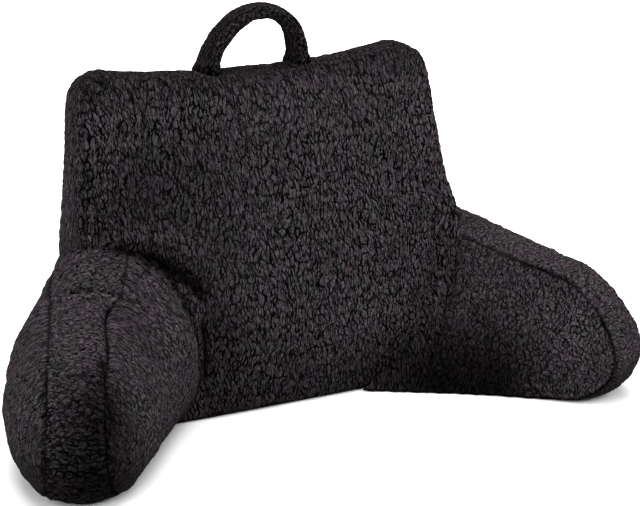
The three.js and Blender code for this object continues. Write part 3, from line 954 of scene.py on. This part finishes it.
def finish_surface(node_name, obj):
    """Seams, folds, then the pile, on a fine mesh of one body or part of one."""
    me = obj.data
    co, nrm = points_of(me), np.empty(len(me.vertices) * 3, np.float32)
    me.attributes["out"].data.foreach_get("vector", nrm)
    me.attributes.remove(me.attributes["out"])
    nrm = nrm.reshape(-1, 3).astype(float)
    nrm /= np.linalg.norm(nrm, axis=1)[:, None] + 1e-9
    panel, u, v = lay_out(node_name, co)
    push, seam_lines_and_painted_shade = shape_seams(node_name, co)
    p2, g2 = shape_folds(node_name, co)
    push += p2
    seam_lines_and_painted_shade = np.maximum(seam_lines_and_painted_shade, g2)
    ridge_with_painted_highlight = np.zeros(len(co))
    if node_name == "arm_left":
        p2, g2, ridge_with_painted_highlight = cross_seam(co)
        push += p2
        seam_lines_and_painted_shade = np.maximum(seam_lines_and_painted_shade, g2)
    # stuffing is never quite even
    push += 1.6 * MM * noise3(co, 0.07, 31) + 0.8 * MM * noise3(co, 0.028, 37)
    push += (1.5 if node_name.startswith("arm") else 0.7) * MM * noise3(co, 0.013, 39, 1)
    # where two bodies are sewn together each rolls in towards the seam, and painted shade darkens the crease between
    # them
    near, facing = gap_to(MEETS[node_name], co, nrm, 0.030)
    near = near / MM
    buried = (1 - step01(near, 1.0, 3.0)) * step01(facing, 0.35, 0.85)
    if node_name in ("arm_right", "handle"):
        buried = np.minimum(buried, field_smooth(me, buried, 24))
    if node_name == "handle":
        push += MM * (2.5 * np.exp(-((near / 7) ** 2)) + 7.0 * buried)
        seam_lines_and_painted_shade = np.maximum(seam_lines_and_painted_shade, 0.75 * np.exp(-((near / 4.5) ** 2)))
    elif node_name == "backrest":
        x, z = co[:, 0] / MM, co[:, 2] / MM
        left = 1 - step01(x, -60, 60)
        beside = step01(-x, 225, 255)  # the side strip runs on into the arm
        push -= MM * 2.4 * left * (1 - beside) * np.exp(-((near / 8) ** 2))
        seam_lines_and_painted_shade = np.maximum(seam_lines_and_painted_shade, (0.10 + 0.75 * left * (1 - beside)) * np.exp(-((near / 6.5) ** 2)))
    elif node_name == "arm_left":
        beside = step01(-co[:, 0] / MM, 225, 255)
        push -= 2.0 * MM * np.exp(-(((near - 5) / 7) ** 2)) * (1 - buried) * (1 - beside)
        push += 9.0 * MM * buried
        seam_lines_and_painted_shade = np.maximum(seam_lines_and_painted_shade, (0.8 - 0.5 * beside) * np.exp(-((near / 6.0) ** 2)))
    else:
        push += 7.0 * MM * buried
        beside = step01(co[:, 0] / MM, 225, 250)
        push -= 2.5 * MM * beside * (1 - buried) * np.exp(-((near / 7) ** 2))
        seam_lines_and_painted_shade = np.maximum(seam_lines_and_painted_shade, (0.10 + 0.65 * beside) * np.exp(-((near / 6.0) ** 2)))
    # the pile stands a little proud of the cloth, more where the sides are packed full
    push += GROW[node_name] * MM
    tree = tree_of(soft[node_name])
    for at, radius, amount in SWELLS.get(node_name, ()):
        if len(at) == 2:
            at = np.array(tree.ray_cast(Vector(CAM), Vector(ray(*at)))[0] or (9, 9, 9)) / MM
        d = np.linalg.norm(co / MM - at, axis=1)
        push += amount * MM * np.exp(-((d / radius) ** 2))
    if node_name == "backrest":
        side = step01(-co[:, 0] / MM, 225, 262) * step01(co[:, 2] / MM, 60, 140)
        push += 3.6 * MM * side
    if node_name == "arm_left":
        root, forward, inward = arm_axes(node_name)
        l = (co / MM - root) @ inward
        push += 4.0 * MM * step01(-l, 10, 45) * step01(co[:, 2] / MM, 30, 100)
        s = (co / MM - root) @ forward
        push += 4.5 * MM * step01(-l, 15, 42) * np.exp(-(((s - 30) / 45) ** 2)) * step01(co[:, 2] / MM, 90, 140)
    base = 1 - step01(co[:, 2], 2 * MM, 12 * MM)
    push *= 1 - base
    new = co + nrm * push[:, None]
    new[:, 2] = np.where(base > 0.999, co[:, 2], np.maximum(new[:, 2], 0.0005))
    set_points(me, new)

    # per point: pile relief, how open the curls are, and painted shade on the colour
    depth, tone, panel_painted_shade = np.zeros(len(co)), np.zeros(len(co)), np.ones(len(co))
    for (body, name), k in CLOTH.items():
        if body == node_name:
            here = panel == name
            depth[here], tone[here], panel_painted_shade[here] = k["depth"], k["tone"], k.get("panel_painted_shade", 1)
            u[here] /= k["size"][0]
            v[here] /= k["size"][1]
    if node_name == "backrest":
        # the nap is brushed short over the top edge, and painted shade darkens its colour, most where it faces up
        top = step01(co[:, 2] / MM, 375, 425)
        depth *= 1 - 0.35 * top
        tone *= 1 - 0.28 * top
        # painted shade on the top edge, strongest on the up-facing part
        panel_painted_shade *= 1 - 0.15 * top - 0.38 * top * step01(nrm[:, 2], 0.1, 0.7)
        edge = step01(-co[:, 0] / MM, 255, 285)  # and round the left edge
        depth *= 1 - 0.30 * edge
        tone *= 1 - 0.35 * edge * (panel == "front")
    if node_name == "arm_left":
        smooth = step01(co[:, 2] / MM, 120, 175) * (panel == "strip")
        tone *= 1 - 0.40 * smooth
        depth *= 1 - 0.25 * smooth
    # painted shade: low down and turned under, the colour is darkened
    shade_height_mask = 1 - step01(co[:, 2] / MM, 10, 125)
    painted_shade_low = 1 - 0.55 * step01(-nrm[:, 2], -0.30, 0.5) * shade_height_mask
    # painted shade and painted light from the spots, and each panel's painted shade, multiply in
    painted_shade_low *= painted_shade_and_light(co) * panel_painted_shade
    depth *= 0.85 + 0.3 * noise3(co, 0.09, 41)
    tone = np.clip(tone * (0.95 + 0.30 * noise3(co, 0.08, 43)), 0, 1)
    depth *= (1 - 0.55 * seam_lines_and_painted_shade) * (1 - base)
    # the colour's darkening: dark seam lines and painted shade, less the painted highlight on the cross seam's ridge
    for name, kind, data in (
        ("pile", "FLOAT_VECTOR", np.c_[u + 5000, v + 5000, np.zeros(len(co))]),
        ("pile_depth", "FLOAT", depth * MM),
        ("pile_tone", "FLOAT", tone),
        ("seam_lines_and_painted_shade", "FLOAT", np.clip(1 - (1 - seam_lines_and_painted_shade) * painted_shade_low, -0.6, 0.985) - ridge_with_painted_highlight),
    ):
        a = me.attributes.new(name, kind, "POINT")
        a.data.foreach_set("vector" if kind == "FLOAT_VECTOR" else "value", data.astype(np.float32).ravel())
    m = obj.modifiers.new("pile", "NODES")
    m.node_group = PILE
    bake(obj)
    me = obj.data
    co = points_of(me)
    co[:, 2] = np.maximum(co[:, 2], 0)
    set_points(me, co)
    me.materials.clear()
    me.materials.append(FLEECE)
    me.shade_smooth()


def cut_front(obj, keep_front):
    """Keeps the part of the back in front of its front seam, or the part behind it."""
    H, lean = BACK_PIECE["height"], BACK_PIECE["lean"]
    no = Vector((0, H, -lean)).normalized()  # towards the rear
    bm = bmesh.new()
    bm.from_mesh(obj.data)
    bmesh.ops.bisect_plane(
        bm,
        geom=bm.verts[:] + bm.edges[:] + bm.faces[:],
        plane_co=Vector(SHIFT * MM),
        plane_no=no,
        clear_outer=keep_front,
        clear_inner=not keep_front,
    )
    edges = [e for e in bm.edges if e.is_boundary]
    made = bmesh.ops.edgenet_fill(bm, edges=edges)["faces"]
    bmesh.ops.triangulate(bm, faces=[f for f in made if len(f.verts) > 4])
    bmesh.ops.recalc_face_normals(bm, faces=bm.faces[:])
    bm.to_mesh(obj.data)
    bm.free()


def fine_mesh(node_name, name, voxel, part=None):
    me = soft[node_name].data.copy()
    obj = new_object(name, me)
    s = obj.modifiers.new("sub", "SUBSURF")
    s.levels = s.render_levels = 1
    bake(obj)
    remesh(obj, voxel * MM)
    relax(obj.data, 6, 0.5)
    # the way out of the whole body, kept so that both sides of the cut move together
    out = obj.data.attributes.new("out", "FLOAT_VECTOR", "POINT")
    out.data.foreach_set("vector", normals_of(obj.data).astype(np.float32).ravel())
    if part is not None:
        cut_front(obj, part == "front")
    return obj


FINE = [  # node, piece, voxel, part, fill
    ("backrest", "back_front_panel", 1.70, "front", 0.8),
    ("backrest", "back_boxing_and_rear", 2.30, "rear", 0.8),
    ("arm_left", "arm_left_cushion", 1.84, None, 0.8),
    ("arm_right", "arm_right_cushion", 1.79, None, 0.8),
    ("handle", "carry_loop", 1.2, None, 0.7),
]
for node_name, name, voxel, part, fill in FINE:
    obj = fine_mesh(node_name, name, voxel * (1.0), part)
    finish_surface(node_name, obj)
    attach(obj, "root")
    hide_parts(node_name)
    n = sum(len(p.vertices) - 2 for p in obj.data.polygons)
    print("piece", name, "triangles", n)
for obj in soft.values():
    bpy.data.objects.remove(obj, do_unlink=True)

# ---------------------------------------------------------- floor and light ----
me = bpy.data.meshes.new("floor")
size = 14.0
me.from_pydata([(-size, -size, 0), (size, -size, 0), (size, size, 0), (-size, size, 0)], [], [(0, 1, 2, 3)])
floor = new_object("floor", me)
floor.location.z = -0.0006
paper = bpy.data.materials.new("pale_floor")
paper.use_nodes = True
p = paper.node_tree.nodes["Principled BSDF"]
p.inputs["Base Color"].default_value = (0.80, 0.80, 0.80, 1)
p.inputs["Roughness"].default_value = 0.9
p.inputs["Specular IOR Level"].default_value = 0.1
me.materials.append(paper)

world = bpy.data.worlds.new("studio")
bpy.context.scene.world = world
world.use_nodes = True
bg = world.node_tree.nodes["Background"]
bg.inputs[0].default_value = (1.0, 1.0, 1.0, 1)
bg.inputs[1].default_value = 0.34
bpy.context.scene.view_settings.view_transform = "Standard"


def softbox(name, at, to, w, h, power):
    data = bpy.data.lights.new(name, "AREA")
    data.shape = "RECTANGLE"
    data.size, data.size_y = w, h
    data.energy = power
    lamp = bpy.data.objects.new(name, data)
    bpy.context.scene.collection.objects.link(lamp)
    lamp.location = at
    lamp.rotation_euler = (Vector(to) - Vector(at)).to_track_quat("-Z", "Y").to_euler()
    return lamp


softbox("key", (-0.8, -2.4, 2.5), (0, 0, 0.2), 1.4, 1.4, 46)
softbox("top", (0.0, -0.2, 2.6), (0, 0, 0.2), 2.2, 2.2, 92)
softbox("left", (-2.3, -0.8, 1.3), (0, 0, 0.2), 1.4, 1.6, 46)
softbox("right", (2.3, -1.4, 1.5), (0, 0, 0.2), 1.4, 1.6, 62)
softbox("backdrop", (1.6, 3.6, 3.2), (1.9, 4.6, 0), 4.0, 4.0, 460)
